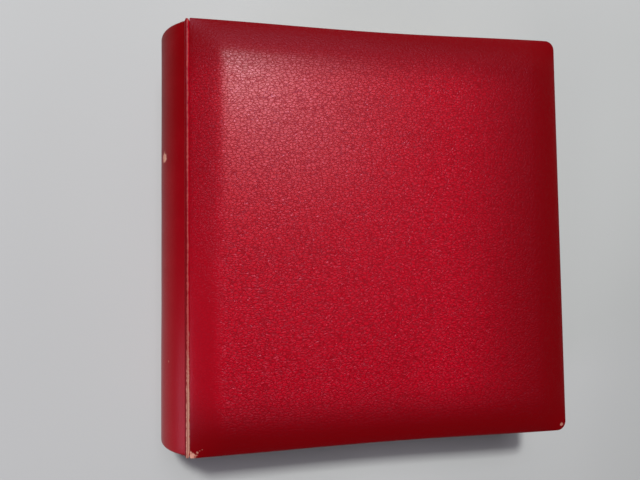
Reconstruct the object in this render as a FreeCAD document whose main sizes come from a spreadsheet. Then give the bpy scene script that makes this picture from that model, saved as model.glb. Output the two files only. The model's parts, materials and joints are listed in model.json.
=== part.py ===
import FreeCAD, Part
import math
import os

# A round-backed stamp album with padded covers, lying closed on its back cover.
# +X runs from the spine to the fore-edge, +Y to the head, +Z up. The origin is
# the middle of the footprint, on the surface that the album lies on.

SIZES = [
    ("leaf_count", 32, "leaves bound in the album"),
    ("leaf_pitch", 2.0, "height of the stack for each leaf"),
    ("leaf_thickness", 0.9, "one leaf with what is mounted on it"),
    ("leaf_width", 256, "linen fold to fore-edge"),
    ("leaf_height", 302, "tail to head"),
    ("leaf_corner", 4, "radius of a leaf's outer corners"),
    ("strip_width", 26, "guard strip that the screws pass through"),
    ("strip_gap", 0.05, "air between one guard strip and the next"),
    ("linen_reach", 1.3, "linen between a strip's edge and the leaf's fold"),
    ("linen_thickness", 0.5, "linen tongue"),
    ("linen_bead_radius", 0.4, "round fold at the end of the linen"),
    ("fold_clearance", 0.15, "round fold to the leaf's edge"),
    ("cover_width", 297, "seam to fore-edge"),
    ("cover_height", 320, "tail to head"),
    ("cover_corner", 9, "radius of the fore-edge corners"),
    ("seam_corner", 2, "radius of the corners beside the seam"),
    ("skin_thickness", 0.8, "leatherette"),
    ("turn_in", 6, "leatherette turned over the board's inner face"),
    ("pad_crown", 5.5, "rise of the pad above the cover's edge"),
    ("shoulder", 24, "width of the pad's slope at head, tail and fore-edge"),
    ("seam_shoulder", 30, "width of the pad's slope beside the seam"),
    ("corner_growth", 0.35, "how much rounder the pad's corners get inwards"),
    ("board_thickness", 3, "cover board"),
    ("lining_thickness", 0.6, "paper lining inside a cover"),
    ("lining_gap", 0.3, "lining to the turned-in leatherette"),
    ("spine_bulge", 24.5, "round back beyond the seam"),
    ("shell_thickness", 2.5, "curved board under the spine's leatherette"),
    ("spine_inset", 2, "spine shorter than the covers at each end"),
    ("joint_radius", 1.6, "folded leatherette along each seam"),
    ("joint_clearance", 0.3, "folded leatherette to the cover's edge"),
    ("seat_clearance", 0.05, "play between pieces that are seated together"),
    ("spine_board_thickness", 3, "flat board inside the round back"),
    ("channel_thickness", 1.2, "steel of the binding channel"),
    ("flange_depth", 24, "channel's flanges, from the inside of its back"),
    ("channel_height", 296, "channel, tail to head"),
    ("head_room", 2.3, "room for screw heads between a flange and a cover"),
    ("rivet_count", 4, "rivets that hold the channel"),
    ("rivet_spacing", 78, "from rivet to rivet"),
    ("rivet_radius", 2, "rivet shank"),
    ("rivet_head_radius", 3.6, "rivet head"),
    ("rivet_head_height", 0.9, "rivet head"),
    ("strip_clearance", 0.3, "rivet heads to the guard strips"),
    ("screw_count", 4, "binding screws"),
    ("screw_spacing", 84, "from screw to screw"),
    ("screw_setback", 13, "inside of the channel's back to the screws"),
    ("screw_radius", 2.5, "screw shank"),
    ("screw_head_radius", 6, "knurled head"),
    ("screw_head_height", 1.2, "knurled head"),
    ("slot_width", 1.4, "coin slot across the head"),
    ("slot_depth", 0.6, "coin slot across the head"),
    ("knurl_count", 28, "notches round the head"),
    ("knurl_radius", 0.4, "one notch"),
    ("washer_radius", 7, "washer under a screw's head"),
    ("washer_thickness", 0.5, "washer under a screw's head"),
    ("head_clearance", 0.1, "screw head to its washer"),
    ("bush_radius", 3.6, "threaded bush in the lower flange"),
    ("bush_collar_radius", 5.5, "bush's collar below the flange"),
    ("bush_collar_height", 1.5, "bush's collar below the flange"),
    ("running_clearance", 0.05, "screw shank in its bush and washer"),
    ("hole_clearance", 0.5, "screw shank in the leaves' guard strips"),
]

PLACES = [
    ("overall_width", "Sizes.cover_width + Sizes.spine_bulge"),
    ("seam_x", "Sizes.spine_bulge - overall_width / 2"),
    ("cover_x", "seam_x + Sizes.joint_radius + Sizes.joint_clearance"),
    ("cover_far_x", "seam_x + Sizes.cover_width"),
    ("cover_length", "cover_far_x - cover_x"),
    ("board_z", "Sizes.skin_thickness + Sizes.pad_crown"),
    ("board_inner_z", "board_z + Sizes.board_thickness"),
    ("cover_inner_z", "board_inner_z + Sizes.skin_thickness"),
    ("seam_z", "Sizes.pad_crown + Sizes.joint_radius"),
    ("channel_z", "cover_inner_z + Sizes.head_room"),
    ("stack_z", "channel_z + Sizes.channel_thickness"),
    ("stack_height", "Sizes.leaf_count * Sizes.leaf_pitch"),
    ("stack_top_z", "stack_z + stack_height"),
    ("channel_top_z", "stack_top_z + Sizes.channel_thickness"),
    ("total_height", "channel_top_z + channel_z"),
    ("middle_z", "total_height / 2"),
    ("upper_seam_z", "total_height - seam_z"),
    ("half_chord", "middle_z - seam_z"),
    ("spine_radius", "(Sizes.spine_bulge ^ 2 + half_chord ^ 2) / (2 * Sizes.spine_bulge)"),
    ("spine_x", "seam_x - Sizes.spine_bulge + spine_radius"),
    ("shell_radius", "spine_radius - Sizes.skin_thickness"),
    ("hollow_radius", "shell_radius - Sizes.shell_thickness"),
    ("spine_length", "Sizes.cover_height - 2 * Sizes.spine_inset"),
    ("spine_end_x", "seam_x - Sizes.joint_radius - Sizes.seat_clearance"),
    ("channel_x", "seam_x - Sizes.channel_thickness"),
    ("spine_board_x", "channel_x - Sizes.spine_board_thickness"),
    ("spine_board_half", "sqrt(hollow_radius ^ 2 - (spine_x - spine_board_x) ^ 2) - Sizes.seat_clearance"),
    ("strip_x", "seam_x + Sizes.rivet_head_height + Sizes.strip_clearance"),
    ("strip_far_x", "strip_x + Sizes.strip_width"),
    ("fold_x", "strip_far_x + Sizes.linen_reach"),
    ("leaf_x", "fold_x + Sizes.linen_bead_radius + Sizes.fold_clearance"),
    ("leaf_length", "fold_x + Sizes.leaf_width - leaf_x"),
    ("screw_x", "seam_x + Sizes.screw_setback"),
    ("screw_bore_radius", "Sizes.screw_radius + Sizes.running_clearance"),
    ("washer_top_z", "channel_top_z + Sizes.washer_thickness"),
    ("screw_head_z", "washer_top_z + Sizes.head_clearance"),
    ("bush_z", "channel_z - Sizes.bush_collar_height"),
]

# The pad's slope is a quarter of an ellipse, followed in this many steps.
SHOULDER_STEPS = 5

ALONG_Y = FreeCAD.Rotation(FreeCAD.Vector(1, 0, 0), -90)
ALONG_X = FreeCAD.Rotation(FreeCAD.Vector(0, 1, 0), 90)
UPRIGHT = FreeCAD.Rotation()
TURNED_OVER = FreeCAD.Rotation(FreeCAD.Vector(1, 0, 0), 180)

doc = FreeCAD.newDocument("stamp_album")
nodes = []


def fill_sheets():
    """Put the driving sizes in one sheet and the places worked out from them in another."""
    sizes = doc.addObject("Spreadsheet::Sheet", "Sizes")
    for row, (alias, number, meaning) in enumerate(SIZES, start=1):
        sizes.set(f"A{row}", meaning)
        sizes.set(f"B{row}", str(number))
        sizes.setAlias(f"B{row}", alias)
    places = doc.addObject("Spreadsheet::Sheet", "Places")
    for row, (alias, formula) in enumerate(PLACES, start=1):
        places.set(f"B{row}", "=" + formula)
        places.setAlias(f"B{row}", alias)
    doc.recompute()
    return sizes, places


sizes, places = fill_sheets()


def bind(feature, formulas):
    """Tie a feature's properties to the sheets."""
    for name, formula in formulas.items():
        feature.setExpression(name, formula)


def keep(feature, label):
    """Name a finished sub-part."""
    feature.Label = label
    nodes.append(feature)
    return feature


def place(feature, x, y, z, rotation=UPRIGHT):
    """Turn a feature and tie its place to the sheets."""
    feature.Placement.Rotation = rotation
    bind(feature, {"Placement.Base.x": x, "Placement.Base.y": y, "Placement.Base.z": z})
    return feature


def block(name, x, y, z, length, width, height):
    """A box given by its low corner and its sides."""
    box = doc.addObject("Part::Box", name)
    bind(box, {"Length": length, "Width": width, "Height": height})
    return place(box, x, y, z)


def rod(name, x, y, z, radius, height, rotation=UPRIGHT):
    """A cylinder given by the middle of its first end."""
    cylinder = doc.addObject("Part::Cylinder", name)
    bind(cylinder, {"Radius": radius, "Height": height})
    return place(cylinder, x, y, z, rotation)


def cut(name, base, tool):
    """What is left of base outside tool."""
    feature = doc.addObject("Part::Cut", name)
    feature.Base = base
    feature.Tool = tool
    return feature


def common(name, base, tool):
    """What base and tool share."""
    feature = doc.addObject("Part::Common", name)
    feature.Base = base
    feature.Tool = tool
    return feature


def fuse(name, features):
    """Several features as one solid."""
    feature = doc.addObject("Part::MultiFuse", name)
    feature.Shapes = features
    return feature


def group(name, features):
    """Several separate solids side by side."""
    feature = doc.addObject("Part::Compound", name)
    feature.Links = features
    return feature


def spread(index, count, spacing):
    """Formula for the place of one of a centred row of pieces."""
    return f"({index} - ({count} - 1) / 2) * {spacing}"


def rounded_plate(name, x, z, length, width, thickness, far_corner, near_corner=None):
    """A flat plate whose fore-edge corners, and seam corners if asked, are rounded."""
    body = doc.addObject("PartDesign::Body", name)
    plate = body.newObject("PartDesign::AdditiveBox", name + "_plate")
    bind(plate, {"Length": length, "Width": width, "Height": thickness})
    place(plate, x, f"-({width}) / 2", z)
    doc.recompute()
    round_corners(body, plate, plate.Shape.BoundBox.XMax, far_corner)
    if near_corner:
        round_corners(body, body.Tip, plate.Shape.BoundBox.XMin, near_corner)
    return body


def round_corners(body, feature, edge_x, radius):
    """Fillet the upright edges of a plate at one of its ends."""
    edges = []
    for index, edge in enumerate(feature.Shape.Edges, start=1):
        box = edge.BoundBox
        if box.ZLength > box.XLength + box.YLength and abs(box.Center.x - edge_x) < box.ZLength / 1000:
            edges.append(f"Edge{index}")
    corners = body.newObject("PartDesign::Fillet", body.Name + "_corners")
    corners.Base = (feature, edges)
    bind(corners, {"Radius": radius})
    body.Tip = corners
    doc.recompute()


def rounded_wire(low_x, high_x, half_y, near_radius, far_radius, z):
    """A rectangle with rounded corners as one closed wire."""
    corners = [
        (high_x - far_radius, far_radius - half_y, far_radius, -90),
        (high_x - far_radius, half_y - far_radius, far_radius, 0),
        (low_x + near_radius, half_y - near_radius, near_radius, 90),
        (low_x + near_radius, near_radius - half_y, near_radius, 180),
    ]
    up = FreeCAD.Vector(0, 0, 1)
    arcs = []
    for x, y, radius, start in corners:
        arcs.append(Part.makeCircle(radius, FreeCAD.Vector(x, y, z), up, start, start + 90))
    edges = []
    for arc, following in zip(arcs, arcs[1:] + arcs[:1]):
        edges.append(arc)
        edges.append(Part.makeLine(arc.lastVertex().Point, following.firstVertex().Point))
    return Part.Wire(edges)


def crowned_form(below):
    """The swelling side of a padded cover, this far below its outer surface, lying on its crown."""
    low_x = places.cover_x + below
    high_x = places.cover_far_x - below
    half_y = sizes.cover_height / 2 - below
    wires = []
    for step in range(SHOULDER_STEPS + 1):
        angle = math.radians(90 * step / SHOULDER_STEPS)
        inset = sizes.shoulder * (1 - math.cos(angle))
        seam_inset = sizes.seam_shoulder * (1 - math.cos(angle))
        swell = sizes.corner_growth * inset - below
        wires.append(
            rounded_wire(
                low_x + seam_inset,
                high_x - inset,
                half_y - inset,
                sizes.seam_corner + swell,
                sizes.cover_corner + swell,
                below + sizes.pad_crown * (1 - math.sin(angle)),
            )
        )
    return Part.makeLoft(wires, True, False), wires[0]


def shaped(name, shape):
    """A free form whose shape is worked out from the sheets."""
    feature = doc.addObject("Part::Feature", name)
    feature.Shape = shape
    return feature


def make_cover(side, rotation, z):
    """Skin, pad, board and lining of one cover, made crown down and then turned over if need be."""
    pad_shape, _ = crowned_form(sizes.skin_thickness)
    pad = shaped(f"{side}_pad", pad_shape)
    board = rounded_plate(
        f"{side}_board",
        "Places.cover_x + Sizes.skin_thickness",
        "Places.board_z",
        "Places.cover_length - 2 * Sizes.skin_thickness",
        "Sizes.cover_height - 2 * Sizes.skin_thickness",
        "Sizes.board_thickness",
        "Sizes.cover_corner - Sizes.skin_thickness",
        "Sizes.seam_corner - Sizes.skin_thickness",
    )
    window = rounded_plate(
        f"{side}_window",
        "Places.cover_x + Sizes.turn_in",
        "Places.board_inner_z",
        "Places.cover_length - 2 * Sizes.turn_in",
        "Sizes.cover_height - 2 * Sizes.turn_in",
        "2 * Sizes.skin_thickness",
        "Sizes.cover_corner / 2",
    )
    lining = rounded_plate(
        f"{side}_lining",
        "Places.cover_x + Sizes.turn_in + Sizes.lining_gap",
        "Places.board_inner_z",
        "Places.cover_length - 2 * (Sizes.turn_in + Sizes.lining_gap)",
        "Sizes.cover_height - 2 * (Sizes.turn_in + Sizes.lining_gap)",
        "Sizes.lining_thickness",
        "Sizes.cover_corner / 2",
    )
    crown, edge = crowned_form(0)
    rise = FreeCAD.Vector(0, 0, places.cover_inner_z - sizes.pad_crown)
    wall = Part.Face(edge).extrude(rise)
    outside = shaped(f"{side}_outside", crown.fuse(wall).removeSplitter())
    for piece in (pad, board, window, lining, outside):
        place(piece, "0", "0", z, rotation)
    core = fuse(f"{side}_core", [pad, board, window])
    keep(cut(f"{side}_wrap", outside, core), f"{side}_skin")
    keep(pad, f"{side}_pad")
    keep(board, f"{side}_board")
    keep(lining, f"{side}_lining")


def make_round_layer(label, outer_radius, inner_radius):
    """One layer of the round back, from seam to seam."""
    tail = "-Places.spine_length / 2"
    centre = ("Places.spine_x", tail, "Places.middle_z")
    outer = rod(f"{label}_outside", *centre, outer_radius, "Places.spine_length", ALONG_Y)
    inner = rod(f"{label}_inside", *centre, inner_radius, "Places.spine_length", ALONG_Y)
    reach = block(
        f"{label}_reach",
        "Places.seam_x - Sizes.spine_bulge",
        tail,
        "0",
        "Places.spine_end_x - Places.seam_x + Sizes.spine_bulge",
        "Places.spine_length",
        "Places.total_height",
    )
    tube = cut(f"{label}_tube", outer, inner)
    keep(common(f"{label}_arc", tube, reach), label)


def make_spine():
    """The round back with its two folds and the flat board inside it."""
    make_round_layer("spine_skin", "Places.spine_radius", "Places.shell_radius")
    make_round_layer("spine_shell", "Places.shell_radius", "Places.hollow_radius")
    for label, z in (("back_joint", "Places.seam_z"), ("front_joint", "Places.upper_seam_z")):
        tail = "-Places.spine_length / 2"
        fold = rod(label, "Places.seam_x", tail, z, "Sizes.joint_radius", "Places.spine_length", ALONG_Y)
        keep(fold, label)
    blank = block(
        "spine_board_blank",
        "Places.spine_board_x",
        "-Places.spine_length / 2",
        "Places.middle_z - Places.spine_board_half",
        "Sizes.spine_board_thickness",
        "Places.spine_length",
        "2 * Places.spine_board_half",
    )
    keep(cut("spine_board_drilled", blank, rivet_row("spine_board_hole", "Sizes.seat_clearance")), "spine_board")


def rivet_row(name, clearance="0"):
    """Shanks of the rivets, from the hollow back to the inside of the channel."""
    shanks = []
    for index in range(round(sizes.rivet_count)):
        shanks.append(
            rod(
                f"{name}_{index + 1}",
                "Places.spine_board_x",
                spread(index, "Sizes.rivet_count", "Sizes.rivet_spacing"),
                "Places.middle_z",
                f"Sizes.rivet_radius + {clearance}",
                "Places.seam_x - Places.spine_board_x",
                ALONG_X,
            )
        )
    return group(name + "_row", shanks)


def rivet_heads(name, x):
    """Flat heads at one end of the rivets."""
    heads = []
    for index in range(round(sizes.rivet_count)):
        y = spread(index, "Sizes.rivet_count", "Sizes.rivet_spacing")
        radius = "Sizes.rivet_head_radius"
        height = "Sizes.rivet_head_height"
        heads.append(rod(f"{name}_{index + 1}", x, y, "Places.middle_z", radius, height, ALONG_X))
    return group(name + "_row", heads)


def screw_row(name, z, radius, height):
    """A cylinder on the axis of every binding screw."""
    rods = []
    for index in range(round(sizes.screw_count)):
        y = spread(index, "Sizes.screw_count", "Sizes.screw_spacing")
        rods.append(rod(f"{name}_{index + 1}", "Places.screw_x", y, z, radius, height))
    return group(name + "_row", rods)


def make_channel():
    """The steel channel that clamps the guard strips, with its rivets, washers and bushes."""
    tail = "-Sizes.channel_height / 2"
    outside = block(
        "channel_outside",
        "Places.channel_x",
        tail,
        "Places.channel_z",
        "Sizes.channel_thickness + Sizes.flange_depth",
        "Sizes.channel_height",
        "Places.channel_top_z - Places.channel_z",
    )
    inside = block(
        "channel_inside",
        "Places.seam_x",
        tail,
        "Places.stack_z",
        "Sizes.flange_depth",
        "Sizes.channel_height",
        "Places.stack_height",
    )
    holes = fuse(
        "channel_holes",
        [
            rivet_row("channel_rivet_hole", "Sizes.seat_clearance"),
            screw_row(
                "channel_bush_hole",
                "Places.channel_z",
                "Sizes.bush_radius + Sizes.seat_clearance",
                "Sizes.channel_thickness",
            ),
            screw_row(
                "channel_screw_hole",
                "Places.stack_top_z",
                "Sizes.screw_radius + Sizes.hole_clearance",
                "Sizes.channel_thickness",
            ),
        ],
    )
    keep(cut("channel_drilled", cut("channel_folded", outside, inside), holes), "binding_channel")
    rivets = fuse(
        "rivets",
        [
            rivet_row("rivet_shank"),
            rivet_heads("rivet_head", "Places.seam_x"),
            rivet_heads("rivet_tail", "Places.spine_board_x - Sizes.rivet_head_height"),
        ],
    )
    keep(rivets, "channel_rivets")
    washers = cut(
        "washers",
        screw_row("washer", "Places.channel_top_z", "Sizes.washer_radius", "Sizes.washer_thickness"),
        screw_row("washer_bore", "Places.channel_top_z", "Places.screw_bore_radius", "Sizes.washer_thickness"),
    )
    keep(washers, "screw_washers")
    sleeve_height = "Sizes.bush_collar_height + Sizes.channel_thickness"
    bushes = cut(
        "bushes",
        fuse(
            "bush_blanks",
            [
                screw_row("bush_sleeve", "Places.bush_z", "Sizes.bush_radius", sleeve_height),
                screw_row(
                    "bush_collar", "Places.bush_z", "Sizes.bush_collar_radius", "Sizes.bush_collar_height"
                ),
            ],
        ),
        screw_row("bush_bore", "Places.bush_z", "Places.screw_bore_radius", sleeve_height),
    )
    keep(bushes, "screw_bushes")


def make_screw(index):
    """One binding screw: a knurled, slotted head on a long shank."""
    label = f"binding_screw_{index + 1}"
    body = doc.addObject("PartDesign::Body", label)
    shank = body.newObject("PartDesign::AdditiveCylinder", label + "_shank")
    bind(shank, {"Radius": "Sizes.screw_radius", "Height": "Places.screw_head_z - Places.bush_z"})
    place(shank, "0", "0", "Places.bush_z - Places.screw_head_z")
    head = body.newObject("PartDesign::AdditiveCylinder", label + "_head")
    bind(head, {"Radius": "Sizes.screw_head_radius", "Height": "Sizes.screw_head_height"})
    slot = body.newObject("PartDesign::SubtractiveBox", label + "_slot")
    bind(
        slot,
        {
            "Length": "2 * Sizes.screw_head_radius",
            "Width": "Sizes.slot_width",
            "Height": "Sizes.slot_depth",
        },
    )
    place(
        slot,
        "-Sizes.screw_head_radius",
        "-Sizes.slot_width / 2",
        "Sizes.screw_head_height - Sizes.slot_depth",
    )
    notch = body.newObject("PartDesign::SubtractiveCylinder", label + "_notch")
    bind(notch, {"Radius": "Sizes.knurl_radius", "Height": "Sizes.screw_head_height"})
    half_step = "180 deg / Sizes.knurl_count"
    place(
        notch,
        f"Sizes.screw_head_radius * cos({half_step})",
        f"Sizes.screw_head_radius * sin({half_step})",
        "0",
    )
    knurl = body.newObject("PartDesign::PolarPattern", label + "_knurl")
    knurl.Originals = [notch]
    upright_axis = next(axis for axis in body.Origin.OriginFeatures if axis.Role == "Z_Axis")
    knurl.Axis = (upright_axis, [""])
    knurl.Angle = 360
    bind(knurl, {"Occurrences": "Sizes.knurl_count"})
    body.Tip = knurl
    y = spread(index, "Sizes.screw_count", "Sizes.screw_spacing")
    keep(place(body, "Places.screw_x", y, "Places.screw_head_z"), label)


def leaf_middle_z(index):
    """Formula for the height of the middle of a leaf, counted from the back."""
    return f"Places.stack_z + ({index} + 0.5) * Sizes.leaf_pitch"


def make_strip(index, holes):
    """The guard strip of one leaf, with its linen tongue and round fold."""
    name = f"strip_{index + 1}"
    middle = leaf_middle_z(index)
    tail = "-Sizes.leaf_height / 2"
    board = block(
        name + "_board",
        "Places.strip_x",
        tail,
        f"{middle} - Sizes.leaf_pitch / 2 + Sizes.strip_gap / 2",
        "Sizes.strip_width",
        "Sizes.leaf_height",
        "Sizes.leaf_pitch - Sizes.strip_gap",
    )
    tongue = block(
        name + "_tongue",
        "Places.strip_far_x",
        tail,
        f"{middle} - Sizes.linen_thickness / 2",
        "Sizes.linen_reach",
        "Sizes.leaf_height",
        "Sizes.linen_thickness",
    )
    bead = rod(
        name + "_bead", "Places.fold_x", tail, middle, "Sizes.linen_bead_radius", "Sizes.leaf_height", ALONG_Y
    )
    return cut(name, fuse(name + "_blank", [board, tongue, bead]), holes)


def make_leaves():
    """The guard strips as one clamped group, and the leaves that turn on them."""
    holes = screw_row(
        "strip_hole", "Places.stack_z", "Sizes.screw_radius + Sizes.hole_clearance", "Places.stack_height"
    )
    leaf_count = round(sizes.leaf_count)
    keep(group("strips", [make_strip(index, holes) for index in range(leaf_count)]), "guard_strips")
    for index in range(leaf_count):
        label = f"leaf_{index + 1:02d}"
        leaf = rounded_plate(
            label,
            "Places.leaf_x",
            f"{leaf_middle_z(index)} - Sizes.leaf_thickness / 2",
            "Places.leaf_length",
            "Sizes.leaf_height",
            "Sizes.leaf_thickness",
            "Sizes.leaf_corner",
        )
        keep(leaf, label)


def check_document():
    """Stop if a feature failed or a sub-part has no sound solid."""
    for feature in doc.Objects:
        if {"Invalid", "Error"} & set(feature.State):
            raise RuntimeError(f"{feature.Name} failed: {feature.State}")
    for node in nodes:
        if node.Shape.isNull() or not node.Shape.isValid() or not node.Shape.Solids:
            raise RuntimeError(f"{node.Label} has no sound solid")


make_cover("back", UPRIGHT, "0")
make_cover("front", TURNED_OVER, "Places.total_height")
make_spine()
make_channel()
for screw in range(round(sizes.screw_count)):
    make_screw(screw)
make_leaves()
doc.recompute()
check_document()

os.makedirs("parts", exist_ok=True)
for node in nodes:
    node.Shape.exportStep(f"parts/{node.Label}.step")
    box = node.Shape.BoundBox
    print(f"{node.Label}: {len(node.Shape.Solids)} solids, {node.Shape.Volume:.1f} mm3,"
          f" x {box.XMin:.2f} {box.XMax:.2f}, y {box.YMin:.2f} {box.YMax:.2f}, z {box.ZMin:.2f} {box.ZMax:.2f}")
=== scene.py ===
import json
import math

import bmesh
import bpy
import numpy as np
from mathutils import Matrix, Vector, noise


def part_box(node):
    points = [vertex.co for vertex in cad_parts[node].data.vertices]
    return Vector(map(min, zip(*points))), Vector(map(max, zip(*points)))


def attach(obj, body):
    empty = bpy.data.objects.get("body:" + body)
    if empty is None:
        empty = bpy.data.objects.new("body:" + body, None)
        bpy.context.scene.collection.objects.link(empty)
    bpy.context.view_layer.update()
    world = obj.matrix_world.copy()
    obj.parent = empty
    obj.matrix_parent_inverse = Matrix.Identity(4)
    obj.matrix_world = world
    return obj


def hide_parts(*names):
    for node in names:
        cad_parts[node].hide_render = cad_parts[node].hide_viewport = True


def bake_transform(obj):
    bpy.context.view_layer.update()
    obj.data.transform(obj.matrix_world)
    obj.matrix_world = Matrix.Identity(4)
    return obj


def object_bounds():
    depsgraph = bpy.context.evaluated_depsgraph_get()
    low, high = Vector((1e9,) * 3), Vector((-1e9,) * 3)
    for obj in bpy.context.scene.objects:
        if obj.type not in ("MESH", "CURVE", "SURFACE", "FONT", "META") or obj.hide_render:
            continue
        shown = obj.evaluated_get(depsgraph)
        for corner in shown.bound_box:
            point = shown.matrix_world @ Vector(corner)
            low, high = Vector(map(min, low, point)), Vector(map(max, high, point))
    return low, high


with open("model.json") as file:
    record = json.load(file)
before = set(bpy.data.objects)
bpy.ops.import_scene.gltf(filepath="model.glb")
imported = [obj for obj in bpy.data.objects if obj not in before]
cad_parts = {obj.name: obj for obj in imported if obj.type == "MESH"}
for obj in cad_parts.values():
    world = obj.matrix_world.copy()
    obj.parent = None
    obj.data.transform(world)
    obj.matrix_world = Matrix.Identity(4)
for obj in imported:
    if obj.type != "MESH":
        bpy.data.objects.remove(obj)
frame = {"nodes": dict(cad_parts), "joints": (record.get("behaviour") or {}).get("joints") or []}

bl_info = {
    "name": "Padded stamp album",
    "version": (1, 0, 0),
    "blender": (4, 5, 0),
    "location": "3D View > Sidebar > Album",
    "description": "Dresses a round-backed, padded stamp album in leatherette, paper and metal",
    "category": "Object",
}

MM = 0.001
BUILT_LOW, BUILT_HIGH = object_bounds()

# What the dress takes from the built album: its seams, covers, round back and channel.
JOINTS = {joint["name"]: joint for joint in frame["joints"]}
LOWER_SEAM = Vector(JOINTS["spine_roll"]["pos_m"])
UPPER_SEAM = Vector(JOINTS["front_cover_swing"]["pos_m"])
FRONT_LOW, FRONT_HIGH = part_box("front_skin")
BACK_LOW, BACK_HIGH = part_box("back_skin")
BOARD_LOW, BOARD_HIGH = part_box("front_board")
LINING_LOW, LINING_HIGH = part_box("front_lining")
SPINE_LOW, SPINE_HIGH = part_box("spine_skin")
SHELL_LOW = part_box("spine_shell")[0]
SPINE_BOARD_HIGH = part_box("spine_board")[1]
CHANNEL_LOW, CHANNEL_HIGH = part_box("binding_channel")
WASHER_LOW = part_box("screw_washers")[0]
STRIP_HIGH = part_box("guard_strips")[1]
BEAD_LOW, BEAD_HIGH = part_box("front_joint")
LEAVES = sorted(name for name in frame["nodes"] if name.startswith("leaf_"))

HALF_CHORD = (UPPER_SEAM.z - LOWER_SEAM.z) / 2
MIDDLE_Z = (UPPER_SEAM.z + LOWER_SEAM.z) / 2
BULGE = UPPER_SEAM.x - SPINE_LOW.x
SPINE_RADIUS = (BULGE**2 + HALF_CHORD**2) / (2 * BULGE)
SPINE_X = SPINE_LOW.x + SPINE_RADIUS
SKIN = BOARD_LOW.z - FRONT_LOW.z
COVER_EDGE = BEAD_HIGH.z - FRONT_LOW.z

# Room between pieces that move past each other or lie on each other.
FOLD_PLAY = 0.06 * MM
BOARD_PLAY = 0.05 * MM
LINING_PLAY = 0.3 * MM
HINGE_PLAY = 0.02 * MM
WASHER_PLAY = 0.6 * MM
FOLD_RADIUS = FRONT_LOW.x - UPPER_SEAM.x - FOLD_PLAY

# A hinge cloth stops short of the channel's ends, leaves its flange and bends beside the seam, and is
# glued down again just inside the cover.
HINGE_INSET = 1 * MM
HINGE_LEAVES_X = UPPER_SEAM.x + 1.6 * MM
HINGE_BEND_X = UPPER_SEAM.x + 1.4 * MM
HINGE_GLUED_FROM = 0.2 * MM
BLEND_MARGIN = 0.2 * MM

# How finely the soft pieces are divided, and how long and how hard a pad's filling presses.
SLOPE_STEPS = 14
CROWN_STEP = 5 * MM
ROLL_STEPS = 5
SPINE_STEPS = 56
WRAP_STEPS = 9
BEAD_STEPS = 28
ALONG_STEP = 2 * MM
HINGE_STEPS = 60
HINGE_BEND_STEPS = 7
HINGE_GLUED_STEPS = 5
LEAF_STEPS_ACROSS = 34
LEAF_STEPS_ALONG = 40
SETTLE_TICKS = 20
FILLING_PRESSURE = 4.0

# The smallest radius of a corner on a turned-in edge, and how lumpy a fold is.
SHARPEST = 0.3 * MM
FOLD_LUMP = 0.14 * MM

# The spine's leatherette wraps the ends of its shell, laps under both folds, and is tucked flat
# beside the spine's board.
WRAP_DEPTH = 2.5 * MM
WRAP_PLAY = 0.9 * MM
WRAP_OVERHANG = 1.6 * MM
SPINE_LAP = 0.4 * MM
SEAT_ROOM = 1.5 * MM
TUCK = 1.2 * MM
RIPPLE = 0.12 * MM

# The leatherette's grain: pebbles in two sizes, longer across the cover than along it.
GRAIN_STRETCH = (0.72, 1.28, 1.0)
FINE_GRAIN = 0.47
COARSE_SHARE = 0.62

# Scuffs that trail from the front cover's tail corner at the seam.
SCUFFS = 6
SCUFF_START = Vector((5, 4, 1)) * MM
SCUFF_STEP = Vector((1.8, 1.0, 0.8)) * MM

# Squares ruled on a leaf, inside a wide margin at the guard and narrower ones at its other edges.
SQUARE = 5 * MM
GUARD_MARGIN = 24 * MM
LEAF_MARGIN = 14 * MM
LINE_SOFTNESS = 0.1 * MM

# The floor reaches far beyond the album and lies just under it.
FLOOR_REACH = 4.0
FLOOR_DROP = 0.6 * MM

# Each lamp's place, size and colour.
LAMPS = {
    "window": ((-0.3, 1.58, 2.9), 0.3, (1.0, 0.99, 0.99)),
    "ceiling": ((-0.02, 0.68, 1.6), 0.66, (0.95, 0.9, 1.0)),
    "side": ((-1.3, -0.6, 0.55), 0.6, (0.9, 0.76, 1.0)),
}


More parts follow.
